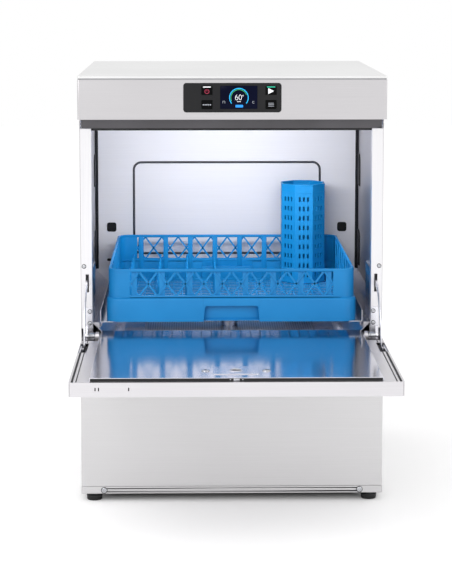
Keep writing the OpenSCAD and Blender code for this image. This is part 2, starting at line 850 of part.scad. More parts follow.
base_frame();
levelling_feet();
plinth_strip();
plinth_screws();
lower_front_panel();
side_panel_left();
side_panel_right();
rear_panel();
front_post_left();
front_post_right();
header_rail();
tub_seals();
top_cover();
control_fascia();
control_bezel();
display();
button_power();
button_program();
button_start();
button_menu();
control_board();
tub_back_wall();
tub_ceiling();
tub_basin();
wash_tank();
wall_plugs();
wall_buffers();
surface_filters();
suction_filter();
rack_rail_left();
rack_rail_right();
stay_housings();
hinge_plates();
hinge_screws();
hinge_pins();
hinge_springs();
door_outer_panel();
door_inner_panel();
door_seal();
latch_plate();
door_screws();
stay_arms();
stay_brackets();
dish_rack();
cutlery_cup();
lower_spindle();
upper_spindle();
lower_wash_arm();
upper_wash_arm();
lower_rinse_arm();
upper_rinse_arm();
wash_pump_housing();
wash_pump_motor();
wash_pump_impeller();
wash_riser();
drain_pump();
boiler();
boiler_heater();
inlet_valve();
cable_gland();
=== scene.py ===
import json
import math

import bmesh
import bpy
from mathutils import Matrix, Vector


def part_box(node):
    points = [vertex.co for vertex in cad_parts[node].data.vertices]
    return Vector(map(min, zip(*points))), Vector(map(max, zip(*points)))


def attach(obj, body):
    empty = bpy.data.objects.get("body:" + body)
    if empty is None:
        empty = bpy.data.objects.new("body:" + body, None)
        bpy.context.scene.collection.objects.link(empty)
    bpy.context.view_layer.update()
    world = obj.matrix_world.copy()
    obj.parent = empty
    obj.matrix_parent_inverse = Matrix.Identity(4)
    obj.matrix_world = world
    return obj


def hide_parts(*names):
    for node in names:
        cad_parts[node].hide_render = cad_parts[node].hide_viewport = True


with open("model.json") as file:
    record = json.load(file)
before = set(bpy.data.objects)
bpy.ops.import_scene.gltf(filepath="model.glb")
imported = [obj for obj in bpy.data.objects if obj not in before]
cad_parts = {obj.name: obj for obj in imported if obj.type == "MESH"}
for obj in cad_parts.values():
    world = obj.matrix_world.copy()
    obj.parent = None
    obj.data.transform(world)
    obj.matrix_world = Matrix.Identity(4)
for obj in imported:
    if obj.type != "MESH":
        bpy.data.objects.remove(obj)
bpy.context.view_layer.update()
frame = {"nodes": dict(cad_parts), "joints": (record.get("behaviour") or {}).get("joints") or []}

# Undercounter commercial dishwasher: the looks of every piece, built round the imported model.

MM = 0.001
SIDES = (-1, 1)
nodes = frame["nodes"]


def ends(node):
    """A CAD node's lowest and highest corner, in millimetres."""
    return [[round(value / MM, 2) for value in corner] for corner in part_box(node)]


def middle(node):
    """The centre of a CAD node's box, in millimetres."""
    low, high = ends(node)
    return [(a + b) / 2 for a, b in zip(low, high)]


# ---- How materials are made ----

def colour(hex_code):
    """The linear colour of an sRGB hex value such as "#d8d8d8"."""
    parts = [int(hex_code[i:i + 2], 16) / 255 for i in (1, 3, 5)]
    return [c / 12.92 if c <= 0.04045 else ((c + 0.055) / 1.055) ** 2.4 for c in parts] + [1]


def add(tree, kind, inputs=None, **settings):
    """Adds a node with its settings, and sets or links its inputs."""
    made = tree.nodes.new(kind)
    for key, value in settings.items():
        setattr(made, key, value)
    for socket, value in (inputs or {}).items():
        if isinstance(value, bpy.types.NodeSocket):
            tree.links.new(value, made.inputs[socket])
        else:
            made.inputs[socket].default_value = value
    return made


def material(name, **shader):
    """A new material with its shader's own sockets set, and its tree, shader and place on the piece."""
    made = bpy.data.materials.new(name)
    made.use_nodes = True
    tree = made.node_tree
    face = tree.nodes["Principled BSDF"]
    for socket, value in shader.items():
        face.inputs[socket.replace("_", " ")].default_value = value
    return made, tree, face, add(tree, "ShaderNodeTexCoord").outputs["Object"]


def two_shades(tree, factor, low, high, *sockets):
    """Colours the shader's sockets from one linear colour to another along a factor."""
    ramp = add(tree, "ShaderNodeValToRGB", {"Fac": factor})
    for stop, shade in zip(ramp.color_ramp.elements, (low, high)):
        stop.color = shade
    for socket in sockets:
        tree.links.new(ramp.outputs["Color"], socket)


def fine_relief(tree, face, texture, roughness, spread, strength):
    """Lets a fine texture vary the roughness and raise the surface by up to 0.2 mm."""
    rough = add(tree, "ShaderNodeMapRange", {"Value": texture, "To Min": roughness - spread,
                                            "To Max": roughness + spread})
    bump = add(tree, "ShaderNodeBump", {"Height": texture, "Strength": strength, "Distance": 0.2 * MM})
    tree.links.new(rough.outputs[0], face.inputs["Roughness"])
    tree.links.new(bump.outputs[0], face.inputs["Normal"])


def rolled_steel(name, low, high, grain, roughness, wave, metallic=1.0, spread=0.05):
    """Metal with a grain: a drawn-out noise for the polishing lines, and 300 mm clouds from handling.

    grain is the number of grain lines a metre along X, Y and Z."""
    made, tree, face, place = material(name, Metallic=metallic)
    stretch = add(tree, "ShaderNodeMapping", {"Vector": place, "Scale": grain})
    lines = add(tree, "ShaderNodeTexNoise", {"Vector": stretch.outputs[0], "Scale": 1.0, "Detail": 3.0})
    cloud = add(tree, "ShaderNodeTexNoise", {"Vector": place, "Scale": 3.2, "Detail": 2.0})
    both = add(tree, "ShaderNodeMath", {0: lines.outputs["Fac"], 1: cloud.outputs["Fac"]},
               operation="MULTIPLY")
    level = add(tree, "ShaderNodeMapRange", {"Value": both.outputs[0], "From Min": 0.12, "From Max": 0.42})
    two_shades(tree, level.outputs[0], colour(low), colour(high), face.inputs["Base Color"])
    fine_relief(tree, face, lines.outputs["Fac"], roughness, spread, wave)
    return made


def moulded(name, low, high, roughness, grit_mm, depth, **shader):
    """Moulded plastic or rubber: a fine spark-eroded texture and a slow change of shade over 110 mm."""
    made, tree, face, place = material(name, **shader)
    grit = add(tree, "ShaderNodeTexNoise", {"Vector": place, "Scale": 1 / (grit_mm * MM), "Detail": 2.0})
    cloud = add(tree, "ShaderNodeTexNoise", {"Vector": place, "Scale": 9.0, "Detail": 2.0})
    level = add(tree, "ShaderNodeMapRange", {"Value": cloud.outputs["Fac"], "From Min": 0.3, "From Max": 0.7})
    two_shades(tree, level.outputs[0], colour(low), colour(high), face.inputs["Base Color"])
    fine_relief(tree, face, grit.outputs["Fac"], roughness, 0.06, depth)
    return made


def perforated(name, hole_mm, pitch_mm, hole_colour, sheet_colour):
    """Stainless sheet punched with round holes on a square grid."""
    made, tree, face, place = material(name, Metallic=1.0, Roughness=0.3)
    grid = add(tree, "ShaderNodeVectorMath", {0: place, 1: [1 / (pitch_mm * MM)] * 3}, operation="MULTIPLY")
    cell = add(tree, "ShaderNodeVectorMath", {0: grid.outputs[0]}, operation="FRACTION")
    centred = add(tree, "ShaderNodeVectorMath", {0: cell.outputs[0], 1: (0.5, 0.5, 0)}, operation="SUBTRACT")
    flat = add(tree, "ShaderNodeVectorMath", {0: centred.outputs[0], 1: (1, 1, 0)}, operation="MULTIPLY")
    reach = add(tree, "ShaderNodeVectorMath", {0: flat.outputs[0]}, operation="LENGTH")
    edge = hole_mm / pitch_mm / 2
    solid = add(tree, "ShaderNodeMapRange", {"Value": reach.outputs["Value"], "From Min": edge - 0.03,
                                            "From Max": edge + 0.03})
    two_shades(tree, solid.outputs[0], colour(hole_colour), colour(sheet_colour), face.inputs["Base Color"])
    tree.links.new(solid.outputs[0], face.inputs["Metallic"])
    return made


def lit(name, hex_code, strength):
    """A backlit or printed mark under the panel's clear film, uneven over patches of about 4 mm."""
    made, tree, face, place = material(name, Roughness=0.3, Emission_Strength=strength)
    patch = add(tree, "ShaderNodeTexNoise", {"Vector": place, "Scale": 260.0})
    shade = [c * 0.8 for c in colour(hex_code)[:3]] + [1]
    two_shades(tree, patch.outputs["Fac"], shade, colour(hex_code), face.inputs["Base Color"],
               face.inputs["Emission Color"])
    return made


# ---- The machine's materials ----

# Grain lines 1.1 mm apart and about 140 mm long. The real grit is finer than shows, so it is drawn coarser.
ALONG_X = (7, 7, 900)
ALONG_X_FLAT = (7, 900, 7)
ALONG_Z = (900, 900, 7)

# AISI 304 casing sheet with a satin ground finish: soft wide highlights with a faint level grain.
satin_steel = rolled_steel("satin_ground_stainless", "#c3c1c3", "#c9c7c9", ALONG_X, 0.40, 0.02, 1.0, 0.03)
# The same sheet low on the front, duller, so that the floor doesn't mirror in it, and painted lighter than
# the casing: painted light.
panel_steel_painted_lighter = rolled_steel("satin_ground_stainless_panel_painted_lighter", "#cecdce", "#d3d2d3", ALONG_X, 0.46, 0.02,
                           0.85, 0.02)
# Folded posts, ground finer along their length, and painted lighter than the casing, almost white: painted
# light.
post_steel_painted_lighter = rolled_steel("fine_ground_stainless_post_painted_lighter", "#e4e3e6", "#ecebed", ALONG_Z, 0.34, 0.02, 1.0, 0.03)
# The door's outer sheet, ground finer: brighter, with a narrower highlight.
door_steel = rolled_steel("fine_ground_stainless", "#cecccf", "#d5d3d6", ALONG_X, 0.34, 0.02)
# Casing sheet lying flat as the lid, painted lighter than the rest of the casing for the light of the whole
# room that falls on it: painted light.
lid_steel_painted_lighter = rolled_steel("satin_ground_stainless_lid_painted_lighter", "#dedede", "#e6e6e6", ALONG_X_FLAT, 0.42, 0.02)
# Cold-rolled bright sheet of the tub: smoother, so it mirrors the walls beside it.
bright_steel = rolled_steel("bright_rolled_stainless", "#dfdfe6", "#ececf2", ALONG_Z, 0.22, 0.03)
# Bright-annealed sheet of the door's inside: nearly a mirror.
mirror_steel = rolled_steel("bright_annealed_stainless", "#d2d2da", "#dedee4", ALONG_X_FLAT, 0.13, 0.01,
                            1.0, 0.03)
# Wet side of the tub's back wall, a soft 2B mill finish: pale, with a lilac cast.
tub_steel = rolled_steel("mill_rolled_stainless", "#ebebf1", "#f0f0f6", ALONG_X, 0.52, 0.003, 0.4, 0.015)
# Dark steel for the bead laid over the back wall's embossed ring: painted shade, a dark line along the ring.
shaded_steel = rolled_steel("painted_shade_ring_steel", "#58585e", "#6c6c72", ALONG_X, 0.34, 0.02)
# Perforated sheet of the lift-out filters, 2.5 mm holes 5 mm apart: a grey screen with dark dots.
perforated_steel = perforated("perforated_stainless", 2.5, 5.0, "#3a3a3e", "#c4c5ca")
# Zinc-plated and bright-passivated screws, pins and springs: bright, with 2.5 mm mottling.
zinc = rolled_steel("bright_zinc_plate", "#b4b6ba", "#cfd0d4", (400, 400, 400), 0.24, 0.02)
# Die-cast aluminium of the motor: a dull skin with 4.5 mm ripples.
cast_aluminium = rolled_steel("cast_aluminium", "#8f9196", "#a4a6ab", (220, 220, 220), 0.55, 0.30)
# Nickel-alloy sheath of the heater, browned by heat.
heater_sheath = rolled_steel("oxidised_nickel_sheath", "#6d5a4e", "#94786a", (300, 300, 300), 0.45, 0.10)

# EPDM rubber, extruded and moulded: nearly black, dull, with a dusty bloom.
rubber = moulded("epdm_rubber", "#0c0c0e", "#17171a", 0.62, 0.8, 0.20)
# Glass-filled polyamide of the header strip and the pump: grey-black, with a dry sheen.
dark_polyamide = moulded("glass_filled_polyamide", "#504e51", "#5e5c60", 0.48, 0.6, 0.25)
# Matt mid grey for the strip in the seam between lid and hood: painted shade of the seam's gap.
seam_painted_shade_grey = moulded("painted_seam_shade_grey", "#98989a", "#a2a2a4", 0.7, 0.8, 0.2, Specular_IOR_Level=0.2)
# Injection-moulded polypropylene of the rack: saturated blue, slightly waxy.
blue_polypropylene = moulded("blue_polypropylene", "#0d78b8", "#1683c4", 0.42, 0.7, 0.16,
                            Specular_IOR_Level=0.32)
# Moulded ABS front of the control panel: black, a fine even texture.
black_abs = moulded("black_abs", "#202022", "#272728", 0.40, 0.5, 0.05, Specular_IOR_Level=0.10)
# Moulded ABS key caps: blacker and smoother than the front.
key_abs = moulded("key_cap_abs", "#040405", "#070708", 0.36, 0.5, 0.04, Specular_IOR_Level=0.06)
# Fibreglass board under green solder mask: glossy.
solder_mask = moulded("green_solder_mask", "#155c33", "#1f7a45", 0.30, 1.2, 0.05)
# Moulded acetal of the inlet valve: white, slightly waxy.
white_acetal = moulded("white_acetal", "#dcdcd6", "#ecece8", 0.42, 0.9, 0.10)

# Coated cover glass of the display: blue-black, with hardly any reflection.
display_glass = moulded("display_cover_glass", "#03061a", "#060a24", 0.16, 3.0, 0.01, Specular_IOR_Level=0.06)
# Translucent polyester film over a lamp: an even soft glow.
lamp_white = lit("white_lamp_film", "#f4f6f8", 0.9)
lamp_green = lit("green_lamp_film", "#2fbf9b", 0.8)
# Lit parts of the colour display behind its glass.
lit_cyan = lit("cyan_display_segment", "#12a5dc", 0.8)
lit_green = lit("green_display_segment", "#3fb36a", 0.6)
lit_blue = lit("blue_display_segment", "#0f7fd6", 0.7)
# Screen-printed ink on the keys, lit faintly through the cap.
print_white = lit("white_panel_print", "#e8eaee", 0.4)
print_grey = lit("grey_panel_print", "#a6aab2", 0.15)
print_red = lit("red_panel_print", "#96203f", 0.25)

CAD_LOOKS = {
    satin_steel: "side_panel_left side_panel_right rear_panel control_fascia base_frame",
    door_steel: "door_outer_panel",
    post_steel_painted_lighter: "front_post_left front_post_right",
    panel_steel_painted_lighter: "lower_front_panel plinth_strip",
    lid_steel_painted_lighter: "top_cover",
    tub_steel: "tub_back_wall tub_ceiling",
    mirror_steel: "door_inner_panel",
    bright_steel: "tub_basin wash_tank latch_plate stay_arms stay_brackets rack_rail_left"
                  " rack_rail_right stay_housings lower_spindle upper_spindle lower_wash_arm upper_wash_arm"
                  " lower_rinse_arm upper_rinse_arm wash_riser boiler surface_filters suction_filter"
                  " hinge_plates",
    zinc: "plinth_screws hinge_screws door_screws hinge_pins hinge_springs",
    rubber: "levelling_feet tub_seals door_seal wall_plugs wall_buffers",
    dark_polyamide: "header_rail wash_pump_housing wash_pump_impeller drain_pump cable_gland",
    black_abs: "control_bezel display",
    key_abs: "button_power button_program button_start button_menu",
    solder_mask: "control_board",
    blue_polypropylene: "dish_rack cutlery_cup",
    cast_aluminium: "wash_pump_motor",
    heater_sheath: "boiler_heater",
    white_acetal: "inlet_valve",
}
for look, names in CAD_LOOKS.items():
    for name in names.split():
        nodes[name].data.materials.clear()
        nodes[name].data.materials.append(look)


def soften(names, width_mm, steps=2):
    """Rounds the folded edges of CAD sheet-metal nodes by a small radius."""
    for name in names.split():
        weld = nodes[name].modifiers.new("weld", "WELD")
        weld.merge_threshold = 0.02 * MM
        edge = nodes[name].modifiers.new("fold_radius", "BEVEL")
        edge.width = width_mm * MM
        edge.segments = steps
        edge.limit_method = "ANGLE"
        edge.angle_limit = math.radians(40)
        edge.use_clamp_overlap = True
        edge.harden_normals = True


soften("lower_front_panel plinth_strip", 1.1, 3)
soften("top_cover control_fascia control_bezel", 0.5)
soften("front_post_left front_post_right header_rail hinge_plates stay_brackets stay_arms", 0.5)
soften("wall_buffers tub_seals door_inner_panel", 0.4)
soften("rear_panel rack_rail_left rack_rail_right", 0.4)


# ---- Shaping tools. Sizes are in millimetres until piece() makes the object ----

def shift_all(bm, matrix):
    """Moves everything drawn so far."""
    bmesh.ops.transform(bm, matrix=matrix, verts=bm.verts)


def put_in(bm, draw, matrix):
    """Draws a shape apart, moves it, and adds it to bm."""
    apart = bmesh.new()
    draw(apart)
    shift_all(apart, matrix)
    carrier = bpy.data.meshes.new("carrier")
    apart.to_mesh(carrier)
    apart.free()
    bm.from_mesh(carrier)
    bpy.data.meshes.remove(carrier)


def block(bm, low, high, soft=0.0, steps=2):
    """A box between two corners, its edges rounded by soft."""
    centre = [(a + b) / 2 for a, b in zip(low, high)]
    size = [b - a for a, b in zip(low, high)]
    place = Matrix.Translation(centre) @ Matrix.Diagonal((*size, 1))
    made = bmesh.ops.create_cube(bm, size=1.0, matrix=place)["verts"]
    if soft > 0:
        edges = list({edge for vert in made for edge in vert.link_edges})
        bmesh.ops.bevel(bm, geom=edges, offset=soft, segments=steps, profile=0.5, affect="EDGES")


def turn_to(axis):
    """The rotation that takes +Z to a direction."""
    return Vector(axis).to_track_quat("Z", "Y").to_matrix().to_4x4()


def join_rings(bm, near, far):
    """Faces between two closed rings of points; either may be a single point."""
    count = max(len(near), len(far))
    for i in range(count):
        k = (i + 1) % count
        if len(near) == 1:
            bm.faces.new((near[0], far[k], far[i]))
        elif len(far) == 1:
            bm.faces.new((near[i], near[k], far[0]))
        else:
            bm.faces.new((near[i], near[k], far[k], far[i]))


def join_in_turn(bm, rings, closed=False):
    """Faces from each ring to the next, and back to the first if closed."""
    for near, far in zip(rings, rings[1:] + (rings[:1] if closed else [])):
        join_rings(bm, near, far)


def cap_ends(bm, rings):
    """Closes the first and the last ring."""
    bm.faces.new(rings[0])
    bm.faces.new(list(reversed(rings[-1])))


def lathe(bm, outline, place, axis=(0, 0, 1), turns=32):
    """A turned solid from (radius, height) points, closed on its axis or back on itself."""
    frame_at = Matrix.Translation(place) @ turn_to(axis)
    angles = [2 * math.pi * i / turns for i in range(turns)]
    rings = []
    for radius, height in outline:
        rings.append([bm.verts.new(frame_at @ Vector((radius * math.cos(a), radius * math.sin(a), height)))
                      for a in (angles if radius else [0])])
    join_in_turn(bm, rings, closed=outline[0][0] > 0 and outline[-1][0] > 0)


def rounded_loop(half_x, half_y, radius, centre=(0, 0), arc=8):
    """Points and outward normals round a rectangle with round corners, anticlockwise."""
    loop = []
    for corner, (sx, sy) in enumerate(((1, 1), (-1, 1), (-1, -1), (1, -1))):
        cx, cy = centre[0] + sx * (half_x - radius), centre[1] + sy * (half_y - radius)
        for i in range(arc + 1):
            angle = math.pi / 2 * (corner + i / arc)
            normal = (math.cos(angle), math.sin(angle))
            loop.append(((cx + radius * normal[0], cy + radius * normal[1]), normal))
    return loop


def rounded_section(out_low, out_high, up_low, up_high, radius, arc=3):
    """A closed rectangular section with round corners."""
    centre = ((out_low + out_high) / 2, (up_low + up_high) / 2)
    half_x, half_y = (out_high - out_low) / 2, (up_high - up_low) / 2
    return [point for point, _ in rounded_loop(half_x, half_y, radius, centre, arc)]


def rim(bm, loop, section, closed=True):
    """Sweeps a closed (outward, up) section along a level loop."""
    rings = [[bm.verts.new((x + nx * out, y + ny * out, up)) for out, up in section]
             for (x, y), (nx, ny) in loop]
    join_in_turn(bm, rings, closed)
    if not closed:
        cap_ends(bm, rings)


def tube(bm, points, radius):
    """A round tube along a smooth run of points."""
    points = [Vector(p) for p in points]
    rings = []
    side = (points[1] - points[0]).orthogonal().normalized()
    for i, point in enumerate(points):
        along = (points[min(i + 1, len(points) - 1)] - points[max(i - 1, 0)]).normalized()
        side = (side - along * side.dot(along)).normalized()
        up = along.cross(side)
        rings.append([bm.verts.new(point + radius * (math.cos(a) * side + math.sin(a) * up))
                      for a in (2 * math.pi * k / 10 for k in range(10))])
    join_in_turn(bm, rings)
    cap_ends(bm, rings)


def prism(bm, outline, y_front, y_back):
    """A flat outline in X and Z given depth along Y."""
    rows = [[bm.verts.new((x, y, z)) for x, z in outline] for y in (y_front, y_back)]
    join_rings(bm, *rows)
    cap_ends(bm, rows)


def layered(bm, layers, at):
    """A low shape from (inset, height) layers; at gives each layer's points from its inset and height."""
    rings = [[bm.verts.new(point) for point in at(inset, height)] for inset, height in layers]
    join_in_turn(bm, rings)
    cap_ends(bm, rings)


CREASE = math.radians(35)


def piece(name, bm, look, body, stands_for=()):
    """Makes the object of a finished shape, which rides on a body and may stand for CAD nodes."""
    bmesh.ops.scale(bm, vec=(MM, MM, MM), verts=bm.verts)
    bmesh.ops.recalc_face_normals(bm, faces=bm.faces)
    mesh = bpy.data.meshes.new(name)
    bm.to_mesh(mesh)
    bm.free()
    mesh.materials.append(look)
    mesh.shade_smooth()
    mesh.set_sharp_from_angle(angle=CREASE)
    made = bpy.data.objects.new(name, mesh)
    bpy.context.scene.collection.objects.link(made)
    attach(made, body)
    if stands_for:
        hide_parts(*stands_for)
    return made


# ---- Dish rack. Drawn about its own centre, heights from its foot ----

RACK_LOW, RACK_HIGH = ends("dish_rack")
RACK_SIDE = (RACK_HIGH[0] - RACK_LOW[0]) / 2
RACK_UPPER = RACK_SIDE - 4
RACK_TOP = RACK_HIGH[2] - RACK_LOW[2]
LEDGE = 44
WINDOW = RACK_UPPER - 43
WINDOW_LOW, WINDOW_HIGH = LEDGE + 8, RACK_TOP - 6
LATTICE_PITCH = 2 * WINDOW / 11
GRIP, GRIP_TOP = 56, 32
FLOOR_TOP, FLOOR_PITCH = 9.8, 20
PEG_PITCH = 3 * FLOOR_PITCH
# The rolled edge of the ledge: (inward from the skirt's face, height).
LEDGE_ROLL = [(8, LEDGE + 3.4), (4.4, LEDGE + 3.8), (3.4, LEDGE + 3.6), (0.4, LEDGE + 0.8)]


def strap(bm, start, end, width, y_front, y_back):
    """A flat bar in the XZ plane from one point to another, its ends cut level."""
    outline = [(start[0] - width / 2, start[1]), (start[0] + width / 2, start[1]),
               (end[0] + width / 2, end[1]), (end[0] - width / 2, end[1])]
    prism(bm, outline, y_front, y_back)


def corner_run(half, radius, reach):
    """The open loop round one corner, from reach on one side to reach on the next."""
    loop = [((half, reach), (1, 0))]
    for i in range(11):
        angle = math.pi / 2 * i / 10
        normal = (math.cos(angle), math.sin(angle))
        loop.append(((half - radius + radius * normal[0], half - radius + radius * normal[1]), normal))
    return loop + [((reach, half), (0, 1))]


def rack_skirt(bm):
    """The skirt, its inner wall, the rolled ledge over them and the wall above, round the right corner."""
    roll = [(-8, LEDGE + 1), *[(-inward, up) for inward, up in LEDGE_ROLL], (-0.1, LEDGE), (-2.4, LEDGE - 1)]
    for section in (rounded_section(-2.6, 0, 0, LEDGE + 0.6, 0.8),
                    rounded_section(-8, -5.6, 0, LEDGE + 3.4, 1.0), roll):
        rim(bm, corner_run(RACK_SIDE, 28, GRIP), section, closed=False)
    rim(bm, corner_run(RACK_UPPER, 26, WINDOW), rounded_section(-4, 0, LEDGE + 3, RACK_TOP - 4, 0.8),
        closed=False)
    # Ribs stiffen the ledge between the skirt and the upper wall.
    for x in range(70, 221, 25):
        for side in (x, -x):
            block(bm, (side - 0.8, 2 - RACK_SIDE, 1), (side + 0.8, 6 - RACK_SIDE, LEDGE + 2), 0.2, 1)


def rack_grip(bm):
    """The bridge over the hand grip, and the grip's own walls."""
    face = -RACK_SIDE
    bridge = [(face, GRIP_TOP), (face + 8, GRIP_TOP)] + [(face + inward, up) for inward, up in LEDGE_ROLL]
    bridge.append((face, LEDGE))
    rows = [[bm.verts.new((x, y, z)) for y, z in bridge] for x in (-GRIP - 0.5, GRIP + 0.5)]
    join_rings(bm, *rows)
    cap_ends(bm, rows)
    block(bm, (-GRIP - 1, face + 11, 1), (GRIP + 1, face + 14, GRIP_TOP + 3), 0.6)
    block(bm, (-GRIP - 1, face + 6, 1), (GRIP + 1, face + 13, 3.4), 0.5)
    block(bm, (-GRIP + 2, face + 6, GRIP_TOP), (GRIP - 2, face + 13, GRIP_TOP + 2.4), 0.4)
    for side in SIDES:
        lean = [(-1, 0.2), (0.2, 0.2), (2.4, 26), (3.2, 29), (4.8, 31.2), (7, 32.4), (-1, 32.4)]
        prism(bm, [(side * (GRIP - inward), up) for inward, up in lean], face + 0.4, face + 13)


def rack_window(bm):
    """The lattice window, its sill, and the ribs behind it."""
    face = -RACK_UPPER
    low_end, high_end = WINDOW_LOW - 1, WINDOW_HIGH + 1
    half_pitch = LATTICE_PITCH / 2
    block(bm, (-WINDOW - 1, face, LEDGE + 3), (WINDOW + 1, face + 4, WINDOW_LOW + 1), 0.7)
    for i in range(12):
        post = -WINDOW + i * LATTICE_PITCH
        for lean in (-half_pitch, half_pitch):
            if 0 < i < 11:
                start, end = (post - lean, low_end), (post + lean, high_end)
            else:
                inside = half_pitch if i == 0 else -half_pitch
                start = (post, (WINDOW_LOW + WINDOW_HIGH) / 2)
                end = (post + inside, high_end if lean == inside else low_end)
            strap(bm, start, end, 4.4, face + 1, face + 3.2)
    for i in range(8):
        x = -194.25 + 55.5 * i
        foot = 10 if abs(x) > GRIP + 6 else 36
        block(bm, (x - 5.5, face + 3.1, foot), (x + 5.5, face + 5.4, RACK_TOP - 5), 0.5)


def rack_wall(bm):
    """One side of the rack, seen from the front, with the corner to its right."""
    rack_skirt(bm)
    rack_grip(bm)
    rack_window(bm)


def rack_floor(bm):
    """The floor's grid of thin bars, and four rows of tapered pegs."""
    half, under = 0.9, FLOOR_TOP - 2.4
    for line in range(-220, 221, FLOOR_PITCH):
        reach = RACK_SIDE - (13 if abs(line) < GRIP + 2 else 7)
        block(bm, (line - half, -reach, under), (line + half, reach, FLOOR_TOP), 0.3, 1)
        block(bm, (-reach, line - half, under), (reach, line + half, FLOOR_TOP + 0.1), 0.3, 1)
    peg = [(0, 67), (1.3, 66.7), (2.1, 65.8), (2.4, 64.6), (3.0, 36), (3.4, 10), (4.6, 7), (0, 7)]
    for row in range(-210, -29, PEG_PITCH):
        for place in range(-210, 211, PEG_PITCH):
            lathe(bm, peg, (row, place, 0), turns=12)


rack = bmesh.new()
for quarter in range(4):
    put_in(rack, rack_wall, Matrix.Rotation(math.pi / 2 * quarter, 4, "Z"))
for rim_section in (rounded_section(-4.6, 0, RACK_TOP - 6, RACK_TOP, 1.6, 4),
                    rounded_section(-4.3, 0, LEDGE + 3, LEDGE + 6, 0.8)):
    rim(rack, rounded_loop(RACK_UPPER, RACK_UPPER, 26, arc=12), rim_section)
rack_floor(rack)
shift_all(rack, Matrix.Translation((*middle("dish_rack")[:2], RACK_LOW[2])))
piece("rack_moulding", rack, blue_polypropylene, "rack", ["dish_rack"])


# ---- Cutlery cup. Drawn about its own axis, heights from its foot ----

CUP_LOW, CUP_HIGH = ends("cutlery_cup")
CUP_FLATS = CUP_HIGH[0] - CUP_LOW[0]
CUP_TOP = CUP_HIGH[2] - CUP_LOW[2]
CUP_WALL = 2.2
SLOT_COLUMNS = [(-11, -7), (-2, 2), (7, 11)]
SLOT_ROWS = [(14 + 21 * i, 24 + 21 * i) for i in range(9)]


def octagon(flats):
    """Corners of an octagon with a flat to the front, and their outward directions."""
    reach = 1 / math.cos(math.radians(22.5))
    corners = [(reach * math.cos(math.radians(22.5 + 45 * i)), reach * math.sin(math.radians(22.5 + 45 * i)))
               for i in range(8)]
    return [((flats / 2 * x, flats / 2 * y), (x, y)) for x, y in corners]


def slotted_face(bm, start, end):
    """A flat wall between two corners as a grid; the cells of columns crossed with rows stay open."""
    length = math.dist(start, end)
    columns = [(length / 2 + a, length / 2 + b) for a, b in SLOT_COLUMNS]
    across = sorted({0, length, *[a for span in columns for a in span]})
    levels = sorted({0, CUP_TOP - 4, *[z for span in SLOT_ROWS for z in span]})
    grid = {}
    for a in across:
        x, y = (p + (q - p) * a / length for p, q in zip(start, end))
        for z in levels:
            grid[a, z] = bm.verts.new((x, y, z))
    for a, b in zip(across, across[1:]):
        for low, high in zip(levels, levels[1:]):
            if (a, b) not in columns or (low, high) not in SLOT_ROWS:
                bm.faces.new((grid[a, low], grid[b, low], grid[b, high], grid[a, high]))


cup = bmesh.new()
cup_corners = [point for point, _ in octagon(CUP_FLATS - 0.8)]
for here, there in zip(cup_corners, cup_corners[1:] + cup_corners[:1]):
    slotted_face(cup, here, there)
bmesh.ops.remove_doubles(cup, verts=cup.verts, dist=0.01)
bmesh.ops.recalc_face_normals(cup, faces=cup.faces)
bmesh.ops.solidify(cup, geom=list(cup.faces), thickness=CUP_WALL)
for hoop in (rounded_section(-3.6, 0, CUP_TOP - 5, CUP_TOP, 1.4, 4),
             rounded_section(-2.2, 0, CUP_TOP - 19, CUP_TOP - 17.2, 0.5),
             rounded_section(-3.0, 0, 0, 4, 0.9)):
    rim(cup, octagon(CUP_FLATS), hoop)
for bar in range(-36, 37, 12):
    reach = 46 if abs(bar) < 20 else 30
    block(cup, (bar - 1.4, -reach, 0.4), (bar + 1.4, reach, 2.6), 0.3, 1)
    block(cup, (-reach, bar - 1.4, 0.5), (reach, bar + 1.4, 2.7), 0.3, 1)
shift_all(cup, Matrix.Translation((*middle("cutlery_cup")[:2], CUP_LOW[2])))
piece("cutlery_cup_moulding", cup, blue_polypropylene, "rack", ["cutlery_cup"])


# ---- Control panel. Marks are drawn from the lower left corner of their key or of the display ----

FILM = (0, 0.5)


def key(name, body, node):
    """A key with soft edges, its face dished behind a thin raised border."""
    low, high = ends(node)
    mid_x, _, mid_z = middle(node)
    half_x, half_z = (high[0] - low[0]) / 2, (high[2] - low[2]) / 2
    front = low[1] + 0.1

    def outline(inset, depth):
        radius = max(2.2 - inset * 0.5, 0.6)
        loop = rounded_loop(half_x - inset, half_z - inset, radius, (mid_x, mid_z), 5)
        return [(x, front + depth, z) for (x, z), _ in loop]

    cap = bmesh.new()
    layered(cap, ((0, 6), (0, 0.7), (0.25, 0.2), (0.8, 0), (1.5, 0), (2.0, 0.12), (3.2, 0.3)), outline)
    piece(name, cap, key_abs, body, [node])


def ribbon(bm, points, width):
    """A flat line of even width through points in X and Z."""
    edges = ([], [])
    for i, (x, z) in enumerate(points):
        bx, bz = points[max(i - 1, 0)]
        ax, az = points[min(i + 1, len(points) - 1)]
        length = math.hypot(ax - bx, az - bz)
        nx, nz = -(az - bz) / length, (ax - bx) / length
        for edge, sign in zip(edges, (1, -1)):
            edge.append((x + sign * nx * width / 2, z + sign * nz * width / 2))
    rows = [[bm.verts.new((x, y, z)) for x, z in edges[0] + edges[1][::-1]] for y in FILM]
    join_rings(bm, *rows)
    last = 2 * len(points) - 1
    for row in rows:
        for i in range(len(points) - 1):
            bm.faces.new((row[i], row[i + 1], row[last - 1 - i], row[last - i]))


def arc_points(centre, radius_x, radius_z, start, end, steps=16):
    """Points on an ellipse in X and Z between two angles in degrees."""
    angles = [math.radians(start + (end - start) * i / steps) for i in range(steps + 1)]
    return [(centre[0] + radius_x * math.cos(a), centre[1] + radius_z * math.sin(a)) for a in angles]


def soft_bar(bm, x, z, radius=0.5):
    """A flat bar with round corners."""
    centre = ((x[0] + x[1]) / 2, (z[0] + z[1]) / 2)
    loop = rounded_loop((x[1] - x[0]) / 2, (z[1] - z[0]) / 2, radius, centre, 4)
    prism(bm, [point for point, _ in loop], *FILM)


